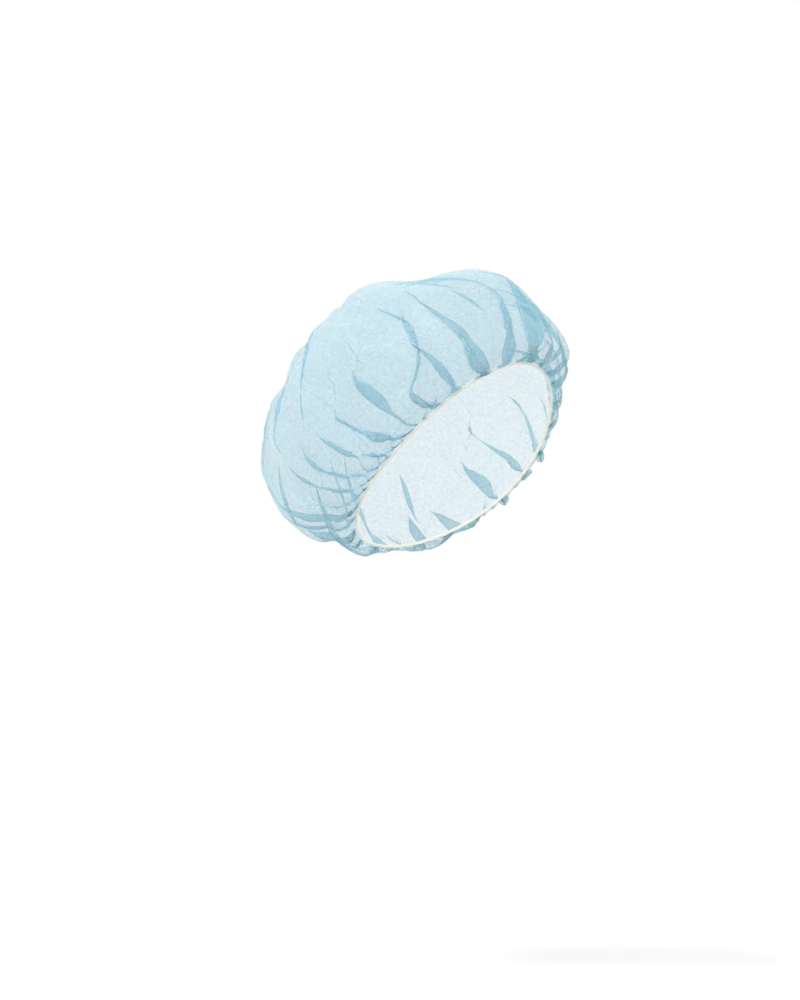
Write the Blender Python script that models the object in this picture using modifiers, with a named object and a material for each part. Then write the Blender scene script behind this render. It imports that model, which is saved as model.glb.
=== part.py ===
"""Disposable bouffant cap of thin nonwoven cloth, in the puffed form that it has when worn.

The real cap is one disc of cloth whose edge is gathered on a stretched elastic. Both pieces
are modelled in the rim's own frame, whose X runs across the head, Y from the forehead back
to the nape and Z out of the rim's plane towards the middle of the crown. One empty then
leans that frame so that +Z is up, -Y is the way the wearer faces and the origin is the
middle of the rim. Metres throughout.
"""

import math
from collections import namedtuple

import bmesh
import bpy

# The rim, which is the line that the elastic takes round the head
RIM_LENGTH = 0.196
RIM_WIDTH = 0.162
RIM_SLOPE = math.radians(46.0)
RIM_DIP = 0.0085
RIM_TAPER = 0.07

# The crown, measured from the middle of the rim
CROWN_DEPTH = 0.147
FRONT_REACH = 0.133
SIDE_REACH = 0.121
BACK_REACH = 0.128
CLOTH_THICKNESS = 0.0012

# How far the gathers, the folds and the swellings stand off the smooth crown, at most
GATHER_DEPTH = 0.0030
FOLD_DEPTH = 0.0075
SWELL_DEPTH = 0.0110

# The half width of the broadest fold and the radius of the broadest swelling
FOLD_WIDTH = 0.014
SWELL_RADIUS = 0.036

# The elastic, how much of it shows below the cloth, and the gap between the two
BAND_WIDTH = 0.0032
BAND_THICKNESS = 0.0012
BAND_SHOWING = 0.0011
CLEARANCE = 0.0003

# How finely the cloth is divided
COLUMNS = 96
ROWS = 22

# The rise by which the cloth is free of the elastic, and the one past which it lies calm
FREE_RISE = 0.10
CALM_RISE = 0.80

# How much deeper and shallower than the mean the even gathers run, and in how many waves
UNEVENNESS = 0.35
UNEVEN_WAVES = 3

# A fold's share of its full depth at its two ends
FOLD_END = 0.35

# Between the rim and the widest ring. A lift is a share of the crown's depth, and an out is
# a share of the way from the rim to the full reach.
Flare = namedtuple("Flare", "name front_lift side_lift back_lift front_out side_out back_out")
FLARE = (
    Flare("first gathers", -0.02, -0.03, 0.03, 0.36, 0.23, 0.31),
    Flare("roll over the rim", 0.01, 0.05, 0.12, 0.77, 0.51, 0.69),
)

# From the widest ring to the middle of the disc. A reach is a share of the full reach.
Dome = namedtuple("Dome", "name front_lift side_lift back_lift front_reach side_reach back_reach")
DOME = (
    Dome("widest at front and back", 0.20, 0.23, 0.31, 1.00, 0.96, 1.00),
    Dome("widest at the sides", 0.45, 0.44, 0.53, 0.93, 1.00, 0.97),
    Dome("over the top", 0.68, 0.65, 0.76, 0.73, 0.90, 0.81),
    Dome("behind the top", 0.86, 0.84, 0.93, 0.44, 0.63, 0.53),
    Dome("round the middle", 0.96, 0.95, 0.99, 0.20, 0.31, 0.26),
)

# Even gathers, which are finest at the elastic. Low and high are the rises between which
# they show, where 0 is the rim and 1 the middle of the disc, and depth is a share of
# GATHER_DEPTH.
Gather = namedtuple("Gather", "name count depth low peak high phase")
GATHERS = (
    Gather("pinched at the elastic", 48, 0.45, 0.00, 0.08, 0.40, 0.0),
    Gather("pleats above the rim", 24, 0.85, 0.00, 0.18, 0.60, 0.6),
    Gather("soft waves", 11, 0.80, 0.10, 0.38, 0.85, 1.9),
)

# The main folds. Each runs from one place to another, given as a turn in degrees from the
# forehead towards the wearer's right and a rise, and bows sideways by some degrees. Width
# and depth are shares of FOLD_WIDTH and FOLD_DEPTH, and a negative depth is a hollow.
Fold = namedtuple("Fold", "name turn_a rise_a turn_b rise_b bow width depth")
FOLDS = (
    Fold("band off the hump", 31, 0.05, 33, 0.64, 8, 0.70, 0.95),
    Fold("hollow beside the band", 16, 0.12, 12, 0.55, 3, 1.00, -0.80),
    Fold("hump to the temple", 68, 0.16, 42, 0.58, -2, 0.57, 0.73),
    Fold("hollow before the hump", 52, 0.15, 44, 0.50, 5, 0.79, -0.73),
    Fold("forehead crease", 24, 0.04, 24, 0.45, 5, 0.43, 0.53),
    Fold("fold over the ear", 62, 0.01, 62, 0.62, 13, 0.64, 0.87),
    Fold("broad pleat", 74, 0.01, 90, 0.44, -2, 0.71, 0.80),
    Fold("teardrop hollow", 95, 0.18, 84, 0.52, 6, 1.14, -0.80),
    Fold("edge of the teardrop", 102, 0.14, 91, 0.52, 3, 0.57, 0.73),
    Fold("fold under the teardrop", 86, 0.01, 112, 0.34, 3, 0.71, 0.87),
    Fold("drape down the back", 70, 0.66, 127, 0.30, 4, 0.70, 0.70),
    Fold("second drape", 92, 0.74, 150, 0.38, 5, 0.60, 0.50),
    Fold("hollow between drapes", 84, 0.66, 140, 0.32, 4, 0.71, -0.60),
    Fold("fold under the ear", 107, 0.03, 124, 0.22, -2, 0.64, 0.80),
    Fold("nape roll", 128, 0.10, 172, 0.12, -4, 0.60, 0.60),
    Fold("nape hollow", 130, 0.22, 175, 0.24, 0, 0.80, -0.90),
    Fold("brow pleat", 12, 0.03, 9, 0.40, 6, 0.50, 0.50),
    Fold("left brow pleat", -18, 0.04, 2, 0.30, 3, 0.50, 0.50),
    Fold("left temple fold", -44, 0.02, -38, 0.56, -6, 0.60, 0.50),
    Fold("left temple hollow", -58, 0.10, -50, 0.52, -4, 0.93, -0.73),
    Fold("left ear fold", -72, 0.01, -80, 0.50, -6, 0.71, 0.87),
    Fold("left side hollow", -88, 0.12, -100, 0.46, 4, 1.00, -0.67),
    Fold("left back fold", -104, 0.02, -118, 0.44, 3, 0.79, 0.80),
    Fold("left drape", -60, 0.66, -128, 0.34, -5, 0.86, 0.73),
    Fold("left nape fold", -140, 0.03, -150, 0.34, -4, 0.79, 0.73),
    Fold("crease over the back", 150, 0.60, -150, 0.52, 0, 0.79, 0.67),
)

# Broad swellings and dents, each round, with its middle at a turn and a rise. Radius and
# depth are shares of SWELL_RADIUS and SWELL_DEPTH.
Swell = namedtuple("Swell", "name turn rise radius depth")
SWELLS = (
    Swell("hump on top", 40, 0.70, 0.70, 1.00),
    Swell("peak over the forehead", 5, 0.58, 0.62, 1.00),
    Swell("dip between them", 26, 0.62, 0.60, -0.60),
    Swell("slack at the left brow", -18, 0.42, 0.94, -0.60),
    Swell("slack at the left temple", -46, 0.26, 1.00, -0.90),
    Swell("pouch at the nape", 142, 0.50, 0.75, 0.30),
    Swell("fullness behind the top", 72, 0.74, 0.70, 0.45),
    Swell("flat of the back", 108, 0.60, 0.83, -0.60),
)

CLOTH_COLOUR = (0.300, 0.585, 0.700, 1.0)
BAND_COLOUR = (0.760, 0.730, 0.640, 1.0)


def smooth_step(value):
    """0 below 0, 1 above 1 and a smooth rise between."""
    value = min(max(value, 0.0), 1.0)
    return value * value * (3.0 - 2.0 * value)


def section_rows():
    """The rings that the crown is lofted through, each as front, side and back lift and then
    front, side and back reach, from the rim to the middle of the disc."""
    edge = BAND_THICKNESS / 2 + CLEARANCE + CLOTH_THICKNESS / 2
    rim = (RIM_LENGTH / 2 + edge, RIM_WIDTH / 2 + edge, RIM_LENGTH / 2 + edge)
    full = (FRONT_REACH, SIDE_REACH, BACK_REACH)
    rows = [(0.0, -RIM_DIP, 0.0, *rim)]
    for row in FLARE:
        lifts = [lift * CROWN_DEPTH for lift in (row.front_lift, row.side_lift, row.back_lift)]
        outs = (row.front_out, row.side_out, row.back_out)
        reaches = [near + (far - near) * out for near, far, out in zip(rim, full, outs)]
        rows.append((*lifts, *reaches))
    for row in DOME:
        lifts = [lift * CROWN_DEPTH for lift in (row.front_lift, row.side_lift, row.back_lift)]
        shares = (row.front_reach, row.side_reach, row.back_reach)
        reaches = [far * share for far, share in zip(full, shares)]
        rows.append((*lifts, *reaches))
    rows.append((CROWN_DEPTH, CROWN_DEPTH, CROWN_DEPTH, 0.0, 0.0, 0.0))
    return rows


def row_beyond(rows):
    """A row past the middle of the disc, which mirrors the last ring so that the top is smooth."""
    last = rows[-2]
    return (*last[:3], *[-reach for reach in last[3:]])


def row_at(rise):
    """The section at a rise, on a smooth curve through the rows."""
    rows = section_rows()
    before = tuple(2 * a - b for a, b in zip(rows[0], rows[1]))
    padded = [before, *rows, row_beyond(rows)]
    along = rise * (len(rows) - 1)
    span = min(int(along), len(rows) - 2)
    s = along - span
    a, b, c, d = padded[span : span + 4]
    return tuple(
        0.5 * (2 * q + (r - p) * s + (2 * p - 5 * q + 4 * r - t) * s**2 + (3 * q - p - 3 * r + t) * s**3)
        for p, q, r, t in zip(a, b, c, d)
    )


def bare_point(turn, row):
    """The point of the smooth crown at a turn, in radians, on one section."""
    front_lift, side_lift, back_lift, front_reach, side_reach, back_reach = row
    ahead, aside = math.cos(turn), math.sin(turn)
    if ahead >= 0:
        lift, reach = front_lift, front_reach
    else:
        lift, reach = back_lift, back_reach
    lift = lift * ahead**2 + side_lift * aside**2
    across = -side_reach * aside * (1.0 - RIM_TAPER * ahead)
    return (across, -reach * ahead, lift)


def girth_radius(rise):
    """The mean radius of the crown's ring at a rise."""
    row = row_at(rise)
    return (row[3] + 2 * row[4] + row[5]) / 4


def meridian_length():
    """The length of cloth from the rim to the middle of the disc, over the wearer's right side."""
    steps = 40
    points = [bare_point(math.pi / 2, row_at(k / steps)) for k in range(steps + 1)]
    return sum(math.dist(a, b) for a, b in zip(points, points[1:]))


def turn_between(turn, other):
    """How many degrees turn is past other, from -180 to 180."""
    return (turn - other + 180.0) % 360.0 - 180.0


def gather_relief(turn, rise):
    """How far the even gathers stand off the smooth crown, at a turn in radians."""
    relief = 0.0
    for gather in GATHERS:
        grow = smooth_step((rise - gather.low) / (gather.peak - gather.low))
        fade = 1.0 - smooth_step((rise - gather.peak) / (gather.high - gather.peak))
        uneven = 1.0 + UNEVENNESS * math.sin(UNEVEN_WAVES * turn + gather.count)
        wave = math.cos(gather.count * turn + gather.phase)
        relief += GATHER_DEPTH * gather.depth * grow * fade * uneven * wave
    return relief


def fold_relief(fold, turn, rise, length):
    """How far one fold stands off the smooth crown, at a turn in degrees."""
    radius = girth_radius((fold.rise_a + fold.rise_b) / 2)
    to_metres = math.radians(1.0) * radius
    run_x = turn_between(fold.turn_b, fold.turn_a) * to_metres
    run_y = (fold.rise_b - fold.rise_a) * length
    at_x = turn_between(turn, fold.turn_a) * to_metres
    at_y = (rise - fold.rise_a) * length
    whole = run_x**2 + run_y**2
    share = min(max((at_x * run_x + at_y * run_y) / whole, 0.0), 1.0)
    sideways = fold.bow * to_metres * 4.0 * share * (1.0 - share)
    away = math.hypot(at_x - share * run_x - sideways, at_y - share * run_y)
    along = FOLD_END + (1.0 - FOLD_END) * math.sqrt(4.0 * share * (1.0 - share))
    across = (1.0 + (away / (FOLD_WIDTH * fold.width)) ** 2) ** -1.5
    return FOLD_DEPTH * fold.depth * along * across


def swell_relief(swell, turn, rise, length):
    """How far one swelling stands off the smooth crown, at a turn in degrees."""
    radius = girth_radius(swell.rise)
    at_x = math.radians(turn_between(turn, swell.turn)) * radius
    at_y = (rise - swell.rise) * length
    away = math.hypot(at_x, at_y) / (SWELL_RADIUS * swell.radius)
    return SWELL_DEPTH * swell.depth * math.exp(-(away**2))


def relief(turn, rise, length):
    """How far the cloth stands off the smooth crown. It dies away at the rim and the middle."""
    degrees = math.degrees(turn)
    folds = sum(fold_relief(fold, degrees, rise, length) for fold in FOLDS)
    swells = sum(swell_relief(swell, degrees, rise, length) for swell in SWELLS)
    free = smooth_step(rise / FREE_RISE)
    calm = smooth_step((rise - CALM_RISE) / (1.0 - CALM_RISE))
    return gather_relief(turn, rise) + (folds + swells) * free * (1.0 - calm)


def outward(turn, rise):
    """The smooth crown's outward direction at a turn and a rise."""
    step = 0.004
    low, high = row_at(max(rise - step, 0.0)), row_at(min(rise + step, 1.0))
    here = row_at(min(rise, 1.0 - step))
    up = [b - a for a, b in zip(bare_point(turn, low), bare_point(turn, high))]
    round_it = [b - a for a, b in zip(bare_point(turn - step, here), bare_point(turn + step, here))]
    normal = (
        round_it[2] * up[1] - round_it[1] * up[2],
        round_it[0] * up[2] - round_it[2] * up[0],
        round_it[1] * up[0] - round_it[0] * up[1],
    )
    size = math.hypot(*normal)
    return tuple(part / size for part in normal)


def crown_point(turn, rise, length):
    """A point of the gathered and folded cloth."""
    base = bare_point(turn, row_at(rise))
    if rise >= 1.0:
        return base
    stand = relief(turn, rise, length)
    return tuple(p + stand * n for p, n in zip(base, outward(turn, rise)))


def material(name, colour, roughness):
    """A Principled material of one colour."""
    made = bpy.data.materials.new(name)
    made.use_nodes = True
    shader = made.node_tree.nodes["Principled BSDF"]
    shader.inputs["Base Color"].default_value = colour
    shader.inputs["Roughness"].default_value = roughness
    shader.inputs["Metallic"].default_value = 0.0
    return made


def make_crown():
    """The gathered disc: a grid wrapped round the head, closed at the seam and the middle."""
    shape = bmesh.new()
    bmesh.ops.create_grid(shape, x_segments=COLUMNS, y_segments=ROWS, size=1.0)
    length = meridian_length()
    edge_lift = BAND_SHOWING - BAND_WIDTH / 2
    for vertex in shape.verts:
        turn = math.pi * (1.0 + vertex.co.x)
        rise = min(max((1.0 + vertex.co.y) / 2, 0.0), 1.0)
        vertex.co = crown_point(turn, rise, length)
        vertex.co.z += edge_lift * (1.0 - smooth_step(rise / FREE_RISE))
    bmesh.ops.remove_doubles(shape, verts=shape.verts, dist=0.00001)
    bmesh.ops.recalc_face_normals(shape, faces=shape.faces)
    mesh = bpy.data.meshes.new("crown")
    shape.to_mesh(mesh)
    shape.free()
    mesh.shade_smooth()
    crown = bpy.data.objects.new("crown", mesh)
    wall = crown.modifiers.new("cloth", "SOLIDIFY")
    wall.thickness = CLOTH_THICKNESS
    wall.offset = 0.0
    mesh.materials.append(material("nonwoven_cloth", CLOTH_COLOUR, 0.85))
    return crown


def make_band():
    """The flat elastic, a closed loop along the rim that stands on its edge."""
    line = bpy.data.curves.new("elastic_band", "CURVE")
    line.dimensions = "3D"
    line.twist_mode = "Z_UP"
    line.extrude = (BAND_WIDTH - BAND_THICKNESS) / 2
    line.bevel_depth = BAND_THICKNESS / 2
    line.bevel_resolution = 1
    loop = line.splines.new("POLY")
    loop.points.add(COLUMNS - 1)
    loop.use_cyclic_u = True
    rim = (0.0, -RIM_DIP, 0.0, RIM_LENGTH / 2, RIM_WIDTH / 2, RIM_LENGTH / 2)
    for index, point in enumerate(loop.points):
        turn = 2.0 * math.pi * index / COLUMNS
        point.co = (*bare_point(turn, rim), 1.0)
    band = bpy.data.objects.new("elastic_band", line)
    line.materials.append(material("elastic_knit", BAND_COLOUR, 0.7))
    return band


def main():
    for old in list(bpy.data.objects):
        bpy.data.objects.remove(old)
    group = bpy.data.collections.new("bouffant_cap")
    bpy.context.scene.collection.children.link(group)
    rim_frame = bpy.data.objects.new("rim_frame", None)
    rim_frame.rotation_euler.x = -RIM_SLOPE
    group.objects.link(rim_frame)
    for piece in (make_crown(), make_band()):
        piece.parent = rim_frame
        group.objects.link(piece)


main()
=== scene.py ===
"""The finished look of a disposable bouffant cap.

The cap is one flat disc of sheer nonwoven cloth, whose edge is gathered on a narrow elastic.
The worn form is worked out first, with its pleats and folds laid over one another, and a short
cloth simulation then gathers the flat disc on to it. Metres throughout, +Z up, -Y is the way
the wearer faces, and the origin is the middle of the rim.
"""

import math
from collections import namedtuple

import bmesh
import bpy
import numpy as np
from bpy.props import FloatProperty, FloatVectorProperty, IntProperty, PointerProperty
from mathutils import Matrix, Vector


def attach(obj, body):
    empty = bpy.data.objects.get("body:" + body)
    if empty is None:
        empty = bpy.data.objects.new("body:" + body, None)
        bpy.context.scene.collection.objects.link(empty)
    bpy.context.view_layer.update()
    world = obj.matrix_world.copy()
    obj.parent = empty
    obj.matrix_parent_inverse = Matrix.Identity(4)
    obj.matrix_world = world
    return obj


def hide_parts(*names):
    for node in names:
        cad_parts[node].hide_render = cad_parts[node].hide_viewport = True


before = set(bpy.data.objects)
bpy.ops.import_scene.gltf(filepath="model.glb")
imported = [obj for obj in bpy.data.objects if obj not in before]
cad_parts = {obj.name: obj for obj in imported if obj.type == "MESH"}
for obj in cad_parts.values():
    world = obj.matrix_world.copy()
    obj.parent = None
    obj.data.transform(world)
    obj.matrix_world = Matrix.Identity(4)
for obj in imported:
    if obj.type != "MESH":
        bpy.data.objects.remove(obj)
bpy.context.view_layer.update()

bl_info = {
    "name": "Bouffant Cap",
    "version": (1, 0, 0),
    "blender": (4, 5, 0),
    "location": "View3D > Sidebar > Bouffant Cap",
    "description": "Makes a sheer bouffant cap with its elastic, and a plain stage for it",
    "category": "Add Mesh",
}

# Between the rim and the widest ring. A lift is a share of the crown's depth, and an out is
# a share of the way from the rim to the full reach.
Flare = namedtuple("Flare", "name front_lift side_lift back_lift front_out side_out back_out")
FLARE = (
    Flare("first gathers", -0.02, -0.03, 0.03, 0.36, 0.23, 0.31),
    Flare("roll over the rim", 0.01, 0.05, 0.12, 0.77, 0.51, 0.69),
)

# From the widest ring to the middle of the disc. A reach is a share of the full reach.
Dome = namedtuple("Dome", "name front_lift side_lift back_lift front_reach side_reach back_reach")
DOME = (
    Dome("widest at front and back", 0.20, 0.23, 0.31, 1.00, 0.96, 1.00),
    Dome("widest at the sides", 0.45, 0.44, 0.53, 0.93, 1.00, 0.97),
    Dome("over the top", 0.68, 0.65, 0.76, 0.73, 0.90, 0.81),
    Dome("behind the top", 0.86, 0.84, 0.93, 0.44, 0.63, 0.53),
    Dome("round the middle", 0.96, 0.95, 0.99, 0.20, 0.31, 0.26),
)

# Pleats that run up from the rim and take up the spare cloth, finest at the elastic. Low, peak
# and high are shares of the way over the cloth from the rim to the middle between which they
# show.
Pleat = namedtuple("Pleat", "name count low peak high")
PLEATS = (
    Pleat("gathers at the elastic", 88, -0.10, 0.00, 0.09),
    Pleat("fine pleats", 47, 0.00, 0.07, 0.22),
    Pleat("pleats above the rim", 27, 0.06, 0.18, 0.40),
    Pleat("broad pleats", 15, 0.18, 0.32, 0.60),
)

# How unevenly the pleats are spread round the rim, how far each laps over its neighbour for
# the cloth that is to spare, how unevenly high they stand, how much shallower the gathers are
# at the elastic itself and where that ends, and how far pleats give way to the main folds
PLEAT_WANDER = 0.9
PLEAT_LAP = 1.95
PLEAT_LAP_POWER = 0.85
PLEAT_UNEVENNESS = 0.35
RIM_CALM = 0.5
RIM_CALM_END = 0.03
PLEATS_IN_FOLDS = 0.70

# The main folds. Each runs from one place to another, given as a turn in degrees from the
# forehead towards the wearer's right and a rise, and bows sideways by some degrees. Width and
# depth are shares of the fold width and the fold depth, and a negative depth is a hollow. A
# lap of more than about 1.7 lays the cloth over itself, and its sign is the side that lies on
# top. Without a lap, a fold that isn't a hollow is a sharp ridge.
Fold = namedtuple("Fold", "name turn_a rise_a turn_b rise_b bow width depth lap")
FOLDS = (
    Fold("band off the hump", 31, 0.00, 39, 0.60, 5, 0.75, 0.90, 4.8),
    Fold("hollow beside the band", 16, 0.12, 20, 0.52, 3, 1.00, -0.90, 0.0),
    Fold("crease to the forehead", 22, 0.00, 10, 0.50, 6, 0.52, 0.60, -4.6),
    Fold("fold off the peak", 0, 0.00, 6, 0.50, 5, 0.60, 0.50, 4.4),
    Fold("brow pleat", 11, 0.00, 9, 0.28, 2, 0.45, 0.40, 4.4),
    Fold("hump to the temple", 67, 0.24, 43, 0.56, -1, 0.52, 0.80, -4.6),
    Fold("hollow before the hump", 50, 0.16, 44, 0.50, 3, 0.80, -0.90, 0.0),
    Fold("temple pleat", 40, 0.00, 46, 0.30, -1, 0.50, 0.40, 4.4),
    Fold("facet over the temple", 49, 0.00, 55, 0.36, 1, 0.44, 0.60, -4.2),
    Fold("second temple pleat", 59, 0.00, 66, 0.28, 2, 0.50, 0.40, 4.6),
    Fold("long fold over the side", 80, 0.32, 52, 0.64, 4, 0.55, 0.80, 4.4),
    Fold("upright fold", 92, 0.36, 70, 0.62, -2, 0.52, 0.70, -4.4),
    Fold("teardrop hollow", 92, 0.26, 84, 0.48, 3, 1.10, -0.90, 0.0),
    Fold("edge of the teardrop", 68, 0.00, 66, 0.54, 10, 0.46, 0.60, 3.5),
    Fold("first band at the ear", 75, 0.00, 92, 0.42, 3, 0.56, 0.60, 5.4),
    Fold("second band at the ear", 83, 0.00, 101, 0.40, 4, 0.56, 0.60, 5.4),
    Fold("band behind the ear", 92, 0.00, 112, 0.39, 4, 0.58, 0.60, 5.4),
    Fold("fold above the nape", 102, 0.00, 121, 0.40, 4, 0.55, 0.60, -5.0),
    Fold("pleat above the nape", 112, 0.00, 130, 0.38, 3, 0.52, 0.50, 4.8),
    Fold("drape down the back", 76, 0.68, 104, 0.42, 5, 0.65, 0.80, -4.6),
    Fold("second drape", 96, 0.72, 122, 0.46, 5, 0.60, 0.70, 4.4),
    Fold("hollow between drapes", 86, 0.66, 116, 0.40, 4, 0.80, -0.80, 0.0),
    Fold("outer drape", 124, 0.66, 138, 0.44, 4, 0.60, 0.60, -4.4),
    Fold("nape roll", 123, 0.00, 138, 0.42, 3, 0.58, 0.80, -4.8),
    Fold("nape pleat", 134, 0.00, 146, 0.40, 3, 0.55, 0.60, 4.6),
    Fold("nape hollow", 130, 0.22, 175, 0.24, 0, 0.80, -0.90, 0.0),
    Fold("nape fold", 147, 0.00, 156, 0.40, 3, 0.60, 0.60, -4.6),
    Fold("nape band", 160, 0.00, 164, 0.36, 2, 0.55, 0.50, 4.4),
    Fold("left brow pleat", -11, 0.00, -2, 0.40, 3, 0.42, 0.50, -4.2),
    Fold("second left brow pleat", -21, 0.00, -15, 0.42, -2, 0.42, 0.50, 4.2),
    Fold("left forehead band", -32, 0.00, -26, 0.54, -4, 0.46, 0.50, -4.2),
    Fold("left temple fold", -47, 0.00, -40, 0.60, -4, 0.50, 0.60, 4.2),
    Fold("left temple hollow", -56, 0.10, -50, 0.52, -4, 0.95, -0.73, 0.0),
    Fold("left side ridge", -62, 0.00, -62, 0.60, 4, 0.46, 0.50, -4.2),
    Fold("left ear fold", -76, 0.00, -82, 0.54, -5, 0.50, 0.75, 4.4),
    Fold("left side hollow", -86, 0.12, -98, 0.46, 4, 1.00, -0.67, 0.0),
    Fold("left ear band", -91, 0.00, -102, 0.48, 3, 0.46, 0.50, -4.2),
    Fold("left back fold", -106, 0.00, -118, 0.50, 3, 0.50, 0.75, 4.4),
    Fold("left drape", -66, 0.70, -112, 0.52, -5, 0.65, 0.70, 4.4),
    Fold("left nape pleat", -121, 0.00, -132, 0.38, -3, 0.55, 0.50, -4.6),
    Fold("left nape fold", -136, 0.00, -146, 0.42, -4, 0.60, 0.70, 4.8),
    Fold("left nape band", -154, 0.00, -160, 0.38, 3, 0.60, 0.55, -4.6),
    Fold("middle of the back", 175, 0.00, 177, 0.54, 4, 0.62, 0.55, 4.6),
    Fold("crease over the back", 150, 0.64, -150, 0.58, 0, 0.55, 0.34, 0.0),
    Fold("ridge down from the hump", 42, 0.54, 75, 0.17, -3, 0.50, 0.42, 0.0),
    Fold("ridge behind it", 54, 0.60, 65, 0.40, -2, 0.45, 0.34, 0.0),
    Fold("ridge over the side", 69, 0.58, 87, 0.32, 2, 0.50, 0.40, 0.0),
    Fold("ridge at the temple", 56, 0.40, 46, 0.12, -4, 0.45, 0.36, 0.0),
    Fold("ridge across the facets", 36, 0.44, 57, 0.24, 3, 0.45, 0.32, 0.0),
    Fold("ridge off the peak", 9, 0.50, 15, 0.16, -4, 0.50, 0.32, 0.0),
    Fold("ridge over the brow", 12, 0.48, 31, 0.20, 3, 0.45, 0.34, 0.0),
    Fold("ridge of the drape", 96, 0.70, 121, 0.48, -3, 0.60, 0.44, 0.0),
    Fold("ridge of the second drape", 76, 0.62, 108, 0.34, 4, 0.55, 0.40, 0.0),
    Fold("ridge at the nape", 118, 0.44, 142, 0.10, 3, 0.50, 0.40, 0.0),
    Fold("ridge of the pouch", 136, 0.56, 156, 0.24, 4, 0.55, 0.42, 0.0),
    Fold("left brow ridge", -10, 0.46, -24, 0.14, 3, 0.50, 0.32, 0.0),
    Fold("left side crease", -50, 0.54, -70, 0.18, -3, 0.50, 0.40, 0.0),
    Fold("left back crease", -96, 0.56, -112, 0.20, 4, 0.50, 0.40, 0.0),
    Fold("left nape crease", -128, 0.50, -152, 0.16, -4, 0.50, 0.40, 0.0),
    Fold("crease down the back", -176, 0.56, 168, 0.16, 4, 0.50, 0.40, 0.0),
)

# How far a lap slides and lifts the cloth, in fold widths, how steep a ridge is, how bluntly
# folds end, how far past the elastic the caught ones run, how low those start, and how firmly
# ridges and full laps are held
LAP_SLIDE = 0.6
LAP_LIFT = 0.10
RIDGE_STEEPNESS = 1.6
FOLD_BLUNTNESS = 0.35
CAUGHT_LENGTH = 0.15
CAUGHT_BELOW = 0.1
RIDGE_FIRMNESS = 0.6
FULL_LAP = 4.0

# Broad swellings and dents, each round, with its middle at a turn and a rise. Radius and
# depth are shares of the swell radius and the swell depth.
Swell = namedtuple("Swell", "name turn rise radius depth")
SWELLS = (
    Swell("hump on top", 40, 0.70, 0.70, 1.45),
    Swell("peak over the forehead", 3, 0.57, 0.85, 1.60),
    Swell("dip between them", 26, 0.62, 0.60, -0.60),
    Swell("slack at the left brow", -18, 0.42, 0.94, -0.60),
    Swell("slack at the left temple", -46, 0.26, 1.00, -0.90),
    Swell("pouch at the nape", 144, 0.42, 0.85, 1.05),
    Swell("fullness behind the top", 72, 0.74, 0.70, 0.45),
    Swell("flat of the back", 108, 0.60, 0.83, -0.60),
)


def length(name, description, default):
    """A size in metres."""
    return FloatProperty(
        name=name, description=description, default=default, unit="LENGTH", precision=4
    )


def angle(name, description, degrees):
    """An angle, given in degrees."""
    return FloatProperty(
        name=name, description=description, default=math.radians(degrees), subtype="ANGLE"
    )


def number(name, description, default):
    """A plain number or a share."""
    return FloatProperty(name=name, description=description, default=default, precision=4)


def count(name, description, default):
    """A whole number."""
    return IntProperty(name=name, description=description, default=default)


def colour(name, description, default):
    """A colour, in linear light."""
    return FloatVectorProperty(
        name=name, description=description, default=default, subtype="COLOR", size=3, min=0.0, max=1.0
    )


class CapRim(bpy.types.PropertyGroup):
    """Sizes of the rim and its elastic"""

    rim_length: length("Rim length", "The rim from the forehead to the nape", 0.196)
    rim_width: length("Rim width", "The rim from temple to temple", 0.162)
    rim_slope: angle("Rim slope", "How far the rim leans down to the nape", 46.0)
    rim_dip: length("Rim dip", "How far the rim dips at the ears", 0.0085)
    rim_taper: number("Rim taper", "How much narrower the rim is in front", 0.07)
    band_width: length("Band width", "The elastic's width", 0.0026)
    band_thickness: length("Band thickness", "The elastic's thickness", 0.0012)
    band_showing: length("Band showing", "How much of the elastic shows below the cloth", 0.0011)
    band_ribs: count("Band ribs", "Ribs knitted round the elastic", 240)
    clearance: length("Clearance", "The gap between the elastic and the cloth", 0.0009)
    elastic_colour: colour("Elastic", "The colour of the elastic's yarn", (0.74, 0.70, 0.60))


class CapCloth(bpy.types.PropertyGroup):
    """Sizes and colours of the cloth, and how it settles"""

    flat_diameter: length("Flat diameter", "The disc that the cloth is cut to", 0.522)
    crown_depth: length("Crown depth", "From the middle of the rim to the middle of the cloth", 0.146)
    front_reach: length("Front reach", "How far the cloth puffs out in front", 0.130)
    side_reach: length("Side reach", "How far the cloth puffs out at each side", 0.1195)
    back_reach: length("Back reach", "How far the cloth puffs out behind", 0.1255)
    pleat_height: number("Pleat height", "How high a pleat stands, as a share of its width", 0.42)
    fold_depth: length("Fold depth", "How far the deepest fold stands off", 0.0075)
    fold_width: length("Fold width", "The half width of the broadest fold", 0.014)
    swell_depth: length("Swell depth", "How far the hump stands off", 0.0100)
    swell_radius: length("Swell radius", "The radius of the broadest swelling", 0.036)
    unevenness: length("Unevenness", "How far the cloth is jogged before it settles", 0.0003)
    rings: count("Rings", "Rings of mesh from the middle to the rim", 120)
    move_frames: count("Gathering frames", "Frames in which the disc is gathered", 14)
    rest_frames: count("Settling frames", "Frames in which the cloth comes to rest", 9)
    stiffness: number("Stiffness", "How much the cloth resists bending", 0.0004)
    # The pale crease colour is partly crease whitening and partly a painted highlight along the folds'
    # edges
    crease_whitening_and_highlight_colour: colour("Creased cloth", "The colour along the creases", (0.44, 0.66, 0.74))
    dense_colour: colour("Cloth", "The colour of the fibres", (0.15, 0.385, 0.475))


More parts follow.
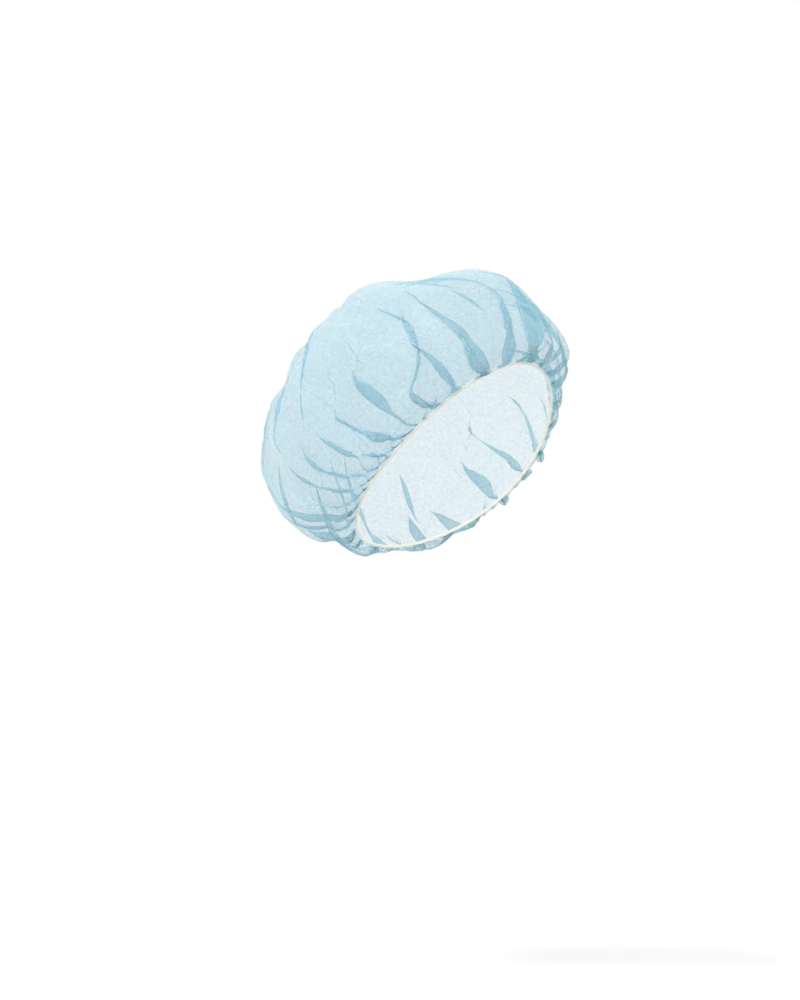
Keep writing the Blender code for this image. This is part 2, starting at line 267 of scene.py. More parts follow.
class CapStage(bpy.types.PropertyGroup):
    """The camera and the floor"""

    azimuth: angle("Azimuth", "The camera's turn from straight in front", -50.0)
    elevation: angle("Elevation", "The camera's height as an angle", -4.0)
    roll: angle("Roll", "The camera's roll", 3.0)
    distance: length("Distance", "From the camera to the middle of the rim", 2.2)
    lens: number("Lens", "Focal length in millimetres", 101.4)
    floor_drop: length("Floor drop", "How far the floor is below the rim", 0.42)
    floor_colour: colour("Floor", "The colour of the floor and the backdrop", (0.94, 0.94, 0.94))


# How many places the smooth crown is measured at from the rim to the middle and round it, and
# the step by which its slope is read
RISE_SAMPLES = 400
TURN_SAMPLES = 241
SLOPE_STEP = 0.004

# The most spare cloth that pleats take up, as a share of the girth, where the folds start to
# die out towards the middle of the disc and over how much rise, and over how much rise they
# come to stand off above the rim
SPARE_MOST = 2.6
MIDDLE_START = 0.80
MIDDLE_LENGTH = 0.20
RIM_LENGTH = 0.10

# How strongly the settling cloth is drawn towards the form, by the share of the way from the
# rim to the middle, how much more in a main fold and at most, and how high the flat disc starts
HOLD_SHARES = (0.004, 0.03, 0.12, 0.30, 0.60, 1.00)
HOLD_PULLS = (0.90, 0.50, 0.28, 0.14, 0.15, 0.30)
HOLD_IN_FOLDS = 0.22
HOLD_MOST = 0.9
LAID_HEIGHT = 0.06

# The cloth that settles
CLOTH_SETTINGS = {
    "quality": 5,
    "mass": 0.3,
    "air_damping": 1.0,
    "tension_stiffness": 15.0,
    "compression_stiffness": 15.0,
    "shear_stiffness": 5.0,
    "bending_damping": 0.01,
    "pin_stiffness": 40.0,
}

# How often the settled cloth is evened out between neighbouring points, how strongly, how much
# less in a main fold, and from where on
EVENING_ROUNDS = 5
EVENING_PULL = 0.45
EVENING_LESS_IN_FOLDS = 0.33
EVENING_START = 0.08

# How far a point stands off its neighbours, in edge lengths, where a crease begins to show, and
# how much farther where it shows in full
CREASE_START = 0.08
CREASE_SPREAD = 0.26

# The pack's creases, each as the way it runs and how far apart they are, and how strongly they
# show
PACK_CREASES = ((0.35, 0.052), (0.35 + math.pi / 2, 0.074))
PACK_CREASE_STRENGTH = 0.40

# The layers of strands, each as the way they run and where they start
STRANDS = ((0.5, 0.0), (-0.6, 3.0))

# How much of the light the cloth stops where its fibres are thinnest and densest and how much
# more along a crease, how much paler a crease is, partly crease whitening and partly a painted
# highlight where light catches the folds' edges, and how much of the stopped light shines through
COVERAGE = (0.21, 0.47)
CREASE_COVERAGE = 0.28
CREASE_WHITENING_AND_HIGHLIGHT = 0.7
SHINE_THROUGH = 0.40

# The elastic's ribs and waves, as shares of its size, its puckers, each as how many there are,
# how high and where they start, and how dark its yarn's random mottling gets
RIB_HEIGHT = 0.16
WAVE_COUNT = 61.0
WAVE_HEIGHT = 0.03
PUCKERS = ((47.0, 0.00012, 0.0), (83.0, 0.00010, 1.0))
YARN_SHADE = 0.78

# The floor's flat part, the rings it sweeps up through, each as a radius and a height, and how
# dark and how wide the painted shade in its middle is, which evens out the lamps' pool of light
FLOOR_RADIUS = 1.6
FLOOR_RINGS = ((2.2, 0.02), (2.8, 0.18), (3.25, 0.5), (3.5, 1.0), (3.6, 3.0))
FLOOR_PAINTED_SHADE = 0.66
FLOOR_MIDDLE_RADIUS = 2.5

# The room's light and its lamps, whose size is in metres and whose power is in watts
ROOM_LIGHT = 0.75
Lamp = namedtuple("Lamp", "name place size power")
LAMPS = (
    Lamp("key_light", (-1.7, -0.3, 1.5), 0.6, 56.0),
    Lamp("fill_light", (1.6, -1.4, 0.4), 1.4, 13.0),
    Lamp("top_light", (0.6, 1.2, 1.6), 1.0, 16.0),
)

# Where the middle of the rim lies in the picture, in pixels of its 800 by 1000 frame
PICTURE_WIDTH = 800
PICTURE_HEIGHT = 1000
RIM_X = 454.0
RIM_Y = 456.5
SENSOR = 36.0


def smooth_step(value):
    """0 below 0, 1 above 1 and a smooth rise between."""
    value = np.clip(value, 0.0, 1.0)
    return value * value * (3.0 - 2.0 * value)


def section_rows(rim, cloth):
    """The rings that the crown is lofted through, each as front, side and back lift and then
    front, side and back reach, from the rim to the middle of the disc."""
    edge = rim.band_thickness / 2 + rim.clearance
    hole = (rim.rim_length / 2 + edge, rim.rim_width / 2 + edge, rim.rim_length / 2 + edge)
    full = (cloth.front_reach, cloth.side_reach, cloth.back_reach)
    drop = rim.band_showing - rim.band_width / 2
    rows = [(drop, drop - rim.rim_dip, drop, *hole)]
    for row in FLARE:
        lifts = [lift * cloth.crown_depth for lift in (row.front_lift, row.side_lift, row.back_lift)]
        outs = (row.front_out, row.side_out, row.back_out)
        reaches = [near + (far - near) * out for near, far, out in zip(hole, full, outs)]
        rows.append((*lifts, *reaches))
    for row in DOME:
        lifts = [lift * cloth.crown_depth for lift in (row.front_lift, row.side_lift, row.back_lift)]
        shares = (row.front_reach, row.side_reach, row.back_reach)
        reaches = [far * share for far, share in zip(full, shares)]
        rows.append((*lifts, *reaches))
    rows.append((cloth.crown_depth,) * 3 + (0.0,) * 3)
    return np.array(rows)


def rows_at(rows, rise):
    """The sections at an array of rises, on a smooth curve through the rows."""
    before = 2 * rows[0] - rows[1]
    beyond = rows[-2] * np.array((1, 1, 1, -1, -1, -1))
    padded = np.vstack((before, rows, beyond))
    along = np.clip(rise, 0.0, 1.0) * (len(rows) - 1)
    span = np.minimum(along.astype(int), len(rows) - 2)
    s = (along - span)[:, None]
    a, b, c, d = (padded[span + k] for k in range(4))
    return 0.5 * (2 * b + (c - a) * s + (2 * a - 5 * b + 4 * c - d) * s**2 + (3 * b - a - 3 * c + d) * s**3)


def bare_points(rim, turn, sections):
    """The points of the smooth crown in the rim's frame, at arrays of turns and sections."""
    ahead, aside = np.cos(turn), np.sin(turn)
    front = ahead >= 0
    lift = np.where(front, sections[:, 0], sections[:, 2]) * ahead**2 + sections[:, 1] * aside**2
    reach = np.where(front, sections[:, 3], sections[:, 5])
    across = -sections[:, 4] * aside * (1.0 - rim.rim_taper * ahead)
    return np.stack((across, -reach * ahead, lift), axis=1)


def outward(rim, rows, turn, rise):
    """The smooth crown's outward directions."""
    step = SLOPE_STEP
    above = bare_points(rim, turn, rows_at(rows, rise + step))
    up = above - bare_points(rim, turn, rows_at(rows, rise - step))
    here = rows_at(rows, np.minimum(rise, 1.0 - step))
    round_it = bare_points(rim, turn + step, here) - bare_points(rim, turn - step, here)
    normal = np.cross(up, round_it)
    return normal / np.linalg.norm(normal, axis=1)[:, None]


def turn_between(turn, other):
    """How many degrees turn is past other, from -180 to 180."""
    return (turn - other + 180.0) % 360.0 - 180.0


def wander(turn, seed):
    """A slow, uneven wave round the cap, between about -1 and 1."""
    rng = np.random.default_rng(seed)
    waves = np.arange(1, 8)
    phases = rng.uniform(0.0, 2.0 * math.pi, len(waves))
    weights = rng.uniform(0.4, 1.0, len(waves))
    total = sum(w * np.sin(k * turn + p) for w, k, p in zip(weights, waves, phases))
    return total / math.sqrt(np.sum(weights**2) / 2) / 2


def pleat_moves(cloth, turn, share, radius, spare, room):
    """How far the pleats move the cloth round the cap, in radians, and off it, in metres. Each
    is laid over its neighbour by as much as takes up the spare cloth. Room is 1 where they have
    the cloth to themselves and less where a main fold takes it up."""
    lap = 1.0 + PLEAT_LAP * np.maximum(spare - 1.0, 0.0) ** PLEAT_LAP_POWER
    sideways = np.zeros_like(turn)
    off = np.zeros_like(turn)
    for seed, pleat in enumerate(PLEATS):
        grow = smooth_step((share - pleat.low) / (pleat.peak - pleat.low))
        fade = 1.0 - smooth_step((share - pleat.peak) / (pleat.high - pleat.peak))
        shown = room * grow * fade * (1.0 + PLEAT_UNEVENNESS * wander(turn * 3, seed + 10))
        drift = PLEAT_WANDER * (wander(turn * 2, seed) * 2 + 3.0 * share * wander(turn, seed + 20))
        phase = pleat.count * turn + drift * math.pi
        sideways -= shown * lap / pleat.count * np.sin(phase)
        off += shown * np.sqrt(lap) * cloth.pleat_height * radius / pleat.count * np.sin(phase)
    return sideways, off * (RIM_CALM + (1.0 - RIM_CALM) * smooth_step(share / RIM_CALM_END))


def fold_moves(cloth, fold, turn, rise, girth, meridian):
    """How far one fold moves the cloth round the cap, up it and off it, all in metres, and how
    much of the cloth there is in the fold. A fold narrows to nothing at each end that isn't
    caught in the elastic."""
    to_metres = math.radians(1.0) * girth((fold.rise_a + fold.rise_b) / 2)
    round_run = turn_between(fold.turn_b, fold.turn_a) * to_metres
    run = np.array((round_run, (fold.rise_b - fold.rise_a) * meridian))
    size = np.linalg.norm(run)
    run /= size
    at_x = turn_between(turn, fold.turn_a) * to_metres
    at_y = (rise - fold.rise_a) * meridian
    share = np.clip((at_x * run[0] + at_y * run[1]) / size, 0.0, 1.0)
    bowed = at_x - fold.bow * to_metres * 4.0 * share * (1.0 - share)
    across = bowed * run[1] - at_y * run[0]
    past = bowed * run[0] + at_y * run[1] - share * size
    caught_a = CAUGHT_LENGTH if fold.rise_a < CAUGHT_BELOW else 0.0
    caught_b = CAUGHT_LENGTH if fold.rise_b < CAUGHT_BELOW else 0.0
    ends = np.clip(4.0 * (share + caught_a) * (1.0 - share + caught_b), 0.0, 1.0) ** FOLD_BLUNTNESS
    width = cloth.fold_width * fold.width
    near = across / width
    away = np.hypot(near, past / width)
    sharp = fold.lap == 0.0 and fold.depth > 0.0
    profile = np.exp(-RIDGE_STEEPNESS * away) if sharp else (1.0 + away**2) ** -1.5
    bump = ends * fold.depth * cloth.fold_depth * profile
    tuck = ends * np.exp(-(near**2) - (past / width) ** 2) * near
    slide = -abs(fold.lap) * width * LAP_SLIDE * tuck
    bump += abs(fold.lap) * LAP_LIFT * width * tuck * (1.0 if fold.lap > 0 else -1.0)
    firmness = RIDGE_FIRMNESS if sharp else min(abs(fold.lap) / FULL_LAP, 1.0)
    taken = firmness * ends * np.exp(-((near / 1.5) ** 2) - (past / width) ** 2)
    return slide * run[1], -slide * run[0], bump, taken


def swell_off(cloth, swell, turn, rise, girth, meridian):
    """How far one swelling stands off the smooth crown."""
    at_x = np.radians(turn_between(turn, swell.turn)) * girth(swell.rise)
    at_y = (rise - swell.rise) * meridian
    away = np.hypot(at_x, at_y) / (cloth.swell_radius * swell.radius)
    return cloth.swell_depth * swell.depth * np.exp(-(away**2))


def disc_mesh(rings):
    """A flat disc of even triangles: a hexagon, cut fine, whose rings are then rounded."""
    shape = bmesh.new()
    bmesh.ops.create_circle(shape, segments=6, radius=1.0, cap_ends=True, cap_tris=True)
    bmesh.ops.subdivide_edges(shape, edges=shape.edges, cuts=rings - 1, use_grid_fill=True)
    sector = math.pi / 3
    for vertex in shape.verts:
        size = math.hypot(vertex.co.x, vertex.co.y)
        if size < 1e-6:
            continue
        bearing = math.atan2(-vertex.co.x, vertex.co.y) % (2.0 * math.pi)
        start = math.floor(bearing / sector + 1e-6)
        inside = bearing - (start + 0.5) * sector
        ring = size * math.cos(inside) / math.cos(sector / 2)
        along = 0.5 + math.tan(inside) / math.tan(sector / 2) / 2
        turned = (start + along) * sector
        vertex.co = (-ring * math.sin(turned), ring * math.cos(turned), 0.0)
    bmesh.ops.reverse_faces(shape, faces=shape.faces)
    mesh = bpy.data.meshes.new("crown_cloth")
    shape.to_mesh(mesh)
    shape.free()
    return mesh


def worn_points(rim, cloth, flat):
    """Where each point of the flat disc lies on the worn form, in the rim's frame, its share of
    the way from the rim to the middle, and how much it belongs to a main fold."""
    rows = section_rows(rim, cloth)
    full = cloth.flat_diameter / 2
    share = np.clip(1.0 - np.hypot(flat[:, 0], flat[:, 1]) / full, 0.0, 1.0)
    turn = np.arctan2(flat[:, 1], flat[:, 0])
    steps = np.linspace(0.0, 1.0, RISE_SAMPLES)
    side = bare_points(rim, np.full(RISE_SAMPLES, math.pi / 2), rows_at(rows, steps))
    arc = np.concatenate(([0.0], np.cumsum(np.linalg.norm(np.diff(side, axis=0), axis=1))))
    meridian = arc[-1]
    rise = np.interp(share, arc / meridian, steps)
    girths = []
    around = np.linspace(0.0, 2.0 * math.pi, TURN_SAMPLES)
    for step in steps:
        ring = bare_points(rim, around, rows_at(rows, np.full(TURN_SAMPLES, step)))
        girths.append(np.linalg.norm(np.diff(ring, axis=0), axis=1).sum())
    worn = np.maximum(np.interp(rise, steps, girths), 1e-4)
    spare = np.clip(2.0 * math.pi * full * (1.0 - share) / worn, 1.0, SPARE_MOST)
    radius = worn / (2.0 * math.pi)

    def girth(height):
        return np.interp(height, steps, girths) / (2.0 * math.pi)

    degrees = np.degrees(turn)
    below_middle = 1.0 - smooth_step((rise - MIDDLE_START) / MIDDLE_LENGTH)
    free = smooth_step(rise / RIM_LENGTH) * below_middle
    sideways, up, off, used = (np.zeros_like(turn) for _ in range(4))
    for fold in FOLDS:
        round_it, along, bump, taken = fold_moves(cloth, fold, degrees, rise, girth, meridian)
        sideways += round_it * below_middle / np.maximum(radius, 0.01)
        up += along * free / meridian
        off += bump * free
        used = np.maximum(used, taken * below_middle)
    pleated, stood = pleat_moves(cloth, turn, share, radius, spare, 1.0 - PLEATS_IN_FOLDS * used)
    sideways += pleated
    off += stood
    for swell in SWELLS:
        off += swell_off(cloth, swell, degrees, rise, girth, meridian) * free
    moved_turn = turn + sideways
    moved_rise = np.clip(rise + up, 0.0, 1.0)
    points = bare_points(rim, moved_turn, rows_at(rows, moved_rise))
    points += outward(rim, rows, moved_turn, moved_rise) * off[:, None]
    jog = np.random.default_rng(4).standard_normal(points.shape) * cloth.unevenness
    points += jog * (share > 0.01)[:, None]
    return points, share, used


def coordinates(mesh):
    """A mesh's points as an array."""
    found = np.empty(len(mesh.vertices) * 3)
    mesh.vertices.foreach_get("co", found)
    return found.reshape(-1, 3)


def settle(mesh, laid, share, used, cloth):
    """Gathers the flat disc on to the worn form as real cloth, and gives its points at rest.

    The mesh has the worn form, and laid is the flat disc, whose lengths the cloth tends to
    keep. Its rim is held, and the rest is drawn softly towards the form while the spare cloth
    buckles into pleats and creases.
    """
    scene = bpy.context.scene
    worn = coordinates(mesh)
    piece = bpy.data.objects.new("settling_cloth", mesh.copy())
    scene.collection.objects.link(piece)
    piece.data.vertices.foreach_set("co", laid.ravel())
    piece.shape_key_add(name="flat")
    key = piece.shape_key_add(name="worn")
    key.data.foreach_set("co", worn.ravel())
    key.value = 0.0
    key.keyframe_insert("value", frame=1)
    key.value = 1.0
    key.keyframe_insert("value", frame=cloth.move_frames)
    held = piece.vertex_groups.new(name="held")
    pull = np.interp(share, HOLD_SHARES, HOLD_PULLS)
    pull = np.minimum(pull + HOLD_IN_FOLDS * used, HOLD_MOST)
    pull = np.round(np.where(share < HOLD_SHARES[0], 1.0, pull), 2)
    for weight in np.unique(pull):
        held.add([int(index) for index in np.nonzero(pull == weight)[0]], float(weight), "REPLACE")
    modifier = piece.modifiers.new("settle", "CLOTH")
    settings = modifier.settings
    for name, value in CLOTH_SETTINGS.items():
        setattr(settings, name, value)
    settings.bending_stiffness = cloth.stiffness
    settings.vertex_group_mass = held.name
    settings.effector_weights.gravity = 0.0
    modifier.collision_settings.use_collision = False
    last = cloth.move_frames + cloth.rest_frames
    modifier.point_cache.frame_start = 1
    modifier.point_cache.frame_end = last
    for frame_number in range(1, last + 1):
        scene.frame_set(frame_number)
    shown = piece.evaluated_get(bpy.context.evaluated_depsgraph_get())
    settled = coordinates(shown.data)
    keys = piece.data.shape_keys
    action = keys.animation_data.action
    data = piece.data
    bpy.data.objects.remove(piece)
    bpy.data.meshes.remove(data)
    bpy.data.actions.remove(action)
    scene.frame_set(1)
    return settled


def link(tree, source, socket):
    """Joins an output to an input."""
    tree.links.new(source, socket)


def larger(tree, sources):
    """The larger of two values."""
    found = new_node(tree, "ShaderNodeMath", operation="MAXIMUM")
    for source, socket in zip(sources, found.inputs):
        link(tree, source, socket)
    return found.outputs["Value"]


def new_node(tree, kind, **values):
    """A node with its settings, and with its inputs set by name with underscores for spaces."""
    made = tree.nodes.new(kind)
    for name, value in values.items():
        if hasattr(made, name):
            setattr(made, name, value)
        else:
            made.inputs[name.replace("_", " ")].default_value = value
    return made


def edge_ends(mesh):
    """The two points of each edge of a mesh."""
    ends = np.empty(len(mesh.edges) * 2, dtype=np.int32)
    mesh.edges.foreach_get("vertices", ends)
    return ends.reshape(-1, 2)


def beside(ends, points):
    """The middle of each point's neighbours."""
    sums = np.zeros_like(points)
    counts = np.zeros(len(points))
    for a, b in ((0, 1), (1, 0)):
        np.add.at(sums, ends[:, a], points[ends[:, b]])
        np.add.at(counts, ends[:, a], 1.0)
    return sums / counts[:, None]


def evened(ends, points, share, used):
    """Takes the smallest jogs out of the settled cloth, least in its main folds and not at its
    edge."""
    pull = EVENING_PULL - EVENING_LESS_IN_FOLDS * used
    free = (smooth_step(share / EVENING_START) * pull)[:, None]
    for _ in range(EVENING_ROUNDS):
        points = points + (beside(ends, points) - points) * free
    return points


def creases(ends, points):
    """How sharply the cloth is creased at each point, from 0 to 1."""
    bend = np.linalg.norm(beside(ends, points) - points, axis=1)
    edge = np.linalg.norm(points[ends[:, 0]] - points[ends[:, 1]], axis=1).mean()
    return smooth_step((bend / edge - CREASE_START) / CREASE_SPREAD)


def pack_creases(tree, place):
    """Faint straight creases, two ways across the flat cloth, from being folded in its pack."""
    lines = []
    for direction, pitch in PACK_CREASES:
        across = new_node(tree, "ShaderNodeMapping")
        across.inputs["Rotation"].default_value = (0.0, 0.0, direction)
        link(tree, place.outputs["UV"], across.inputs["Vector"])
        wave = new_node(tree, "ShaderNodeTexWave", Scale=math.pi / 10 / pitch, Distortion=0.5, Detail=1.0)
        wave.inputs["Detail Scale"].default_value = 3.0
        link(tree, across.outputs["Vector"], wave.inputs["Vector"])
        line = new_node(tree, "ShaderNodeMapRange", From_Min=0.9975, From_Max=1.0, To_Min=0.0)
        line.inputs["To Max"].default_value = PACK_CREASE_STRENGTH
        link(tree, wave.outputs["Fac"], line.inputs["Value"])
        lines.append(line.outputs["Result"])
    return larger(tree, lines)


def bond_points(tree, place):
    """The small dents, about a millimetre apart, where the fibres are melted together."""
    grid = new_node(tree, "ShaderNodeTexVoronoi", Scale=850.0, Randomness=0.15)
    link(tree, place.outputs["UV"], grid.inputs["Vector"])
    dent = new_node(tree, "ShaderNodeMapRange", From_Min=0.18, From_Max=0.34, To_Min=0.35, To_Max=0.0)
    link(tree, grid.outputs["Distance"], dent.inputs["Value"])
    return dent.outputs["Result"]


def nonwoven(cloth):
    """Sheer spunbond cloth: cloudy fibres with gaps between them, paler along its creases, partly as crease
    whitening and partly as a painted highlight along the folds' edges.
    """
    made = bpy.data.materials.new("sheer_nonwoven")
    made.use_nodes = True
    tree = made.node_tree
    tree.nodes.clear()
    place = new_node(tree, "ShaderNodeUVMap", uv_map="flat_cloth")
    clouds = new_node(tree, "ShaderNodeTexNoise", Scale=340.0, Detail=4.0, Roughness=0.65)
    link(tree, place.outputs["UV"], clouds.inputs["Vector"])
    strands = []
    for direction, offset in STRANDS:
        stretch = new_node(tree, "ShaderNodeMapping", Scale=(1500.0, 160.0, 1.0))
        stretch.inputs["Rotation"].default_value = (0.0, 0.0, direction)
        stretch.inputs["Location"].default_value = (offset, offset, 0.0)
        link(tree, place.outputs["UV"], stretch.inputs["Vector"])
        strand = new_node(tree, "ShaderNodeTexNoise", Scale=1.0, Detail=2.0, Roughness=0.6, Distortion=0.6)
        link(tree, stretch.outputs["Vector"], strand.inputs["Vector"])
        strands.append(strand.outputs["Fac"])
    fibres = larger(tree, strands)
    both = new_node(tree, "ShaderNodeMix", data_type="FLOAT", Factor=0.5)
    link(tree, clouds.outputs["Fac"], both.inputs["A"])
    link(tree, fibres, both.inputs["B"])
    crease = new_node(tree, "ShaderNodeAttribute", attribute_name="crease")
    # The curvature creases and the pack's creases both make the cloth denser and paler. The paleness is
    # partly crease whitening and partly a painted highlight along the folds' edges
    worn = larger(tree, (crease.outputs["Fac"], pack_creases(tree, place)))
    thin, dense = COVERAGE
    density = new_node(tree, "ShaderNodeMapRange", From_Min=0.36, From_Max=0.70, To_Min=thin, To_Max=dense)
    link(tree, both.outputs["Result"], density.inputs["Value"])
    creased = new_node(tree, "ShaderNodeMath", operation="MULTIPLY_ADD")
    creased.inputs[1].default_value = CREASE_COVERAGE
    link(tree, worn, creased.inputs[0])
    link(tree, density.outputs["Result"], creased.inputs[2])
    # Painted highlight, partly crease whitening: the creases are tinted towards the pale crease colour
    tint = new_node(tree, "ShaderNodeMix", data_type="RGBA")
    tint.inputs["A"].default_value = (*cloth.dense_colour, 1.0)
    tint.inputs["B"].default_value = (*cloth.crease_whitening_and_highlight_colour, 1.0)
    paler = new_node(tree, "ShaderNodeMath", operation="MULTIPLY")
    paler.inputs[1].default_value = CREASE_WHITENING_AND_HIGHLIGHT
    link(tree, worn, paler.inputs[0])
    link(tree, paler.outputs["Value"], tint.inputs["Factor"])
    relief = new_node(tree, "ShaderNodeMath", operation="SUBTRACT")
    link(tree, both.outputs["Result"], relief.inputs[0])
    link(tree, bond_points(tree, place), relief.inputs[1])
    bump = new_node(tree, "ShaderNodeBump", Strength=0.25, Distance=0.0003)
    link(tree, relief.outputs["Value"], bump.inputs["Height"])
    front = new_node(tree, "ShaderNodeBsdfPrincipled", Roughness=0.45)
    front.inputs["Specular IOR Level"].default_value = 0.5
    front.inputs["Sheen Weight"].default_value = 0.6
    front.inputs["Sheen Roughness"].default_value = 0.4
    through = new_node(tree, "ShaderNodeBsdfTranslucent")
    for shader, colour_name in ((front, "Base Color"), (through, "Color")):
        link(tree, tint.outputs["Result"], shader.inputs[colour_name])
        link(tree, bump.outputs["Normal"], shader.inputs["Normal"])
    body = new_node(tree, "ShaderNodeMixShader", Fac=SHINE_THROUGH)
    link(tree, front.outputs["BSDF"], body.inputs[1])
    link(tree, through.outputs["BSDF"], body.inputs[2])
    gaps = new_node(tree, "ShaderNodeBsdfTransparent")
    sheer = new_node(tree, "ShaderNodeMixShader")
    link(tree, creased.outputs["Value"], sheer.inputs["Fac"])
    link(tree, gaps.outputs["BSDF"], sheer.inputs[1])
    link(tree, body.outputs["Shader"], sheer.inputs[2])
    output = new_node(tree, "ShaderNodeOutputMaterial")
    link(tree, sheer.outputs["Shader"], output.inputs["Surface"])
    return made


def knit(rim):
    """Matt cream yarn, mottled a little darker at random."""
    made = bpy.data.materials.new("knitted_cream_yarn")
    made.use_nodes = True
    tree = made.node_tree
    shader = tree.nodes["Principled BSDF"]
    shader.inputs["Roughness"].default_value = 0.8
    shader.inputs["Sheen Weight"].default_value = 0.3
    place = new_node(tree, "ShaderNodeTexCoord")
    yarn = new_node(tree, "ShaderNodeTexNoise", Scale=2600.0, Detail=2.0)
    link(tree, place.outputs["Object"], yarn.inputs["Vector"])
    shade = new_node(tree, "ShaderNodeMix", data_type="RGBA")
    shade.inputs["A"].default_value = (*(part * YARN_SHADE for part in rim.elastic_colour), 1.0)
    shade.inputs["B"].default_value = (*rim.elastic_colour, 1.0)
    link(tree, yarn.outputs["Fac"], shade.inputs["Factor"])
    link(tree, shade.outputs["Result"], shader.inputs["Base Color"])
    bump = new_node(tree, "ShaderNodeBump", Strength=0.5, Distance=0.0002)
    link(tree, yarn.outputs["Fac"], bump.inputs["Height"])
    link(tree, bump.outputs["Normal"], shader.inputs["Normal"])
    return made


def plain(name, shade, roughness):
    """A matt material of one colour, for the stage."""
    made = bpy.data.materials.new(name)
    made.use_nodes = True
    shader = made.node_tree.nodes["Principled BSDF"]
    shader.inputs["Base Color"].default_value = (*shade, 1.0)
    shader.inputs["Roughness"].default_value = roughness
    return made


def pale_floor(stage):
    """Matt paint with painted shade towards the middle, where the lamps shine brightest, to even out their
    pool of light.
    """
    made = plain("pale_floor", stage.floor_colour, 0.9)
    tree = made.node_tree
    place = new_node(tree, "ShaderNodeTexCoord")
    across = new_node(tree, "ShaderNodeMapping")
    across.inputs["Scale"].default_value = (1 / FLOOR_MIDDLE_RADIUS, 1 / FLOOR_MIDDLE_RADIUS, 0.0)
    link(tree, place.outputs["Object"], across.inputs["Vector"])
    middle = new_node(tree, "ShaderNodeTexGradient", gradient_type="SPHERICAL")
    link(tree, across.outputs["Vector"], middle.inputs["Vector"])
    # Painted shade: the middle of the floor is painted darker against the lamps' pool of light
    shade = new_node(tree, "ShaderNodeMix", data_type="RGBA")
    shade.inputs["A"].default_value = (*stage.floor_colour, 1.0)
    darker = [part * FLOOR_PAINTED_SHADE for part in stage.floor_colour]
    shade.inputs["B"].default_value = (*darker, 1.0)
    link(tree, middle.outputs["Fac"], shade.inputs["Factor"])
    link(tree, shade.outputs["Result"], tree.nodes["Principled BSDF"].inputs["Base Color"])
    return made


def to_row(rim):
    """Turns the rim's frame into the row's."""
    return Matrix.Rotation(-rim.rim_slope, 4, "X")


class MESH_OT_cap_cloth(bpy.types.Operator):
    """Wrap the flat disc of cloth over the worn form, pleat it and let it settle"""

    bl_idname = "mesh.cap_cloth"
    bl_label = "Gathered Cloth"

    def execute(self, context):
        rim, cloth = context.scene.cap_rim, context.scene.cap_cloth
        mesh = disc_mesh(cloth.rings)
        flat = coordinates(mesh)[:, :2] * cloth.flat_diameter / 2
        places = mesh.uv_layers.new(name="flat_cloth")
        corners = np.empty(len(mesh.loops), dtype=np.int32)
        mesh.loops.foreach_get("vertex_index", corners)
        places.uv.foreach_set("vector", flat[corners].ravel())
        turned = np.array(to_row(rim).to_3x3())
        points, share, used = worn_points(rim, cloth, flat)
        mesh.vertices.foreach_set("co", (points @ turned.T).ravel())
        laid = np.column_stack((-flat[:, 1], -flat[:, 0], np.full(len(flat), LAID_HEIGHT)))
        points = coordinates(mesh)
        points = settle(mesh, laid @ turned.T, share, used, cloth)
        ends = edge_ends(mesh)
        points = evened(ends, points, share, used)
        mesh.vertices.foreach_set("co", points.ravel())
        mesh.update()
        mesh.shade_smooth()
        crease = mesh.attributes.new("crease", "FLOAT", "POINT")
        crease.data.foreach_set("value", creases(ends, points))
        mesh.materials.append(nonwoven(cloth))
        piece = bpy.data.objects.new("crown_cloth", mesh)
        context.scene.collection.objects.link(piece)
        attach(piece, "root")
        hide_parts("crown")
        return {"FINISHED"}


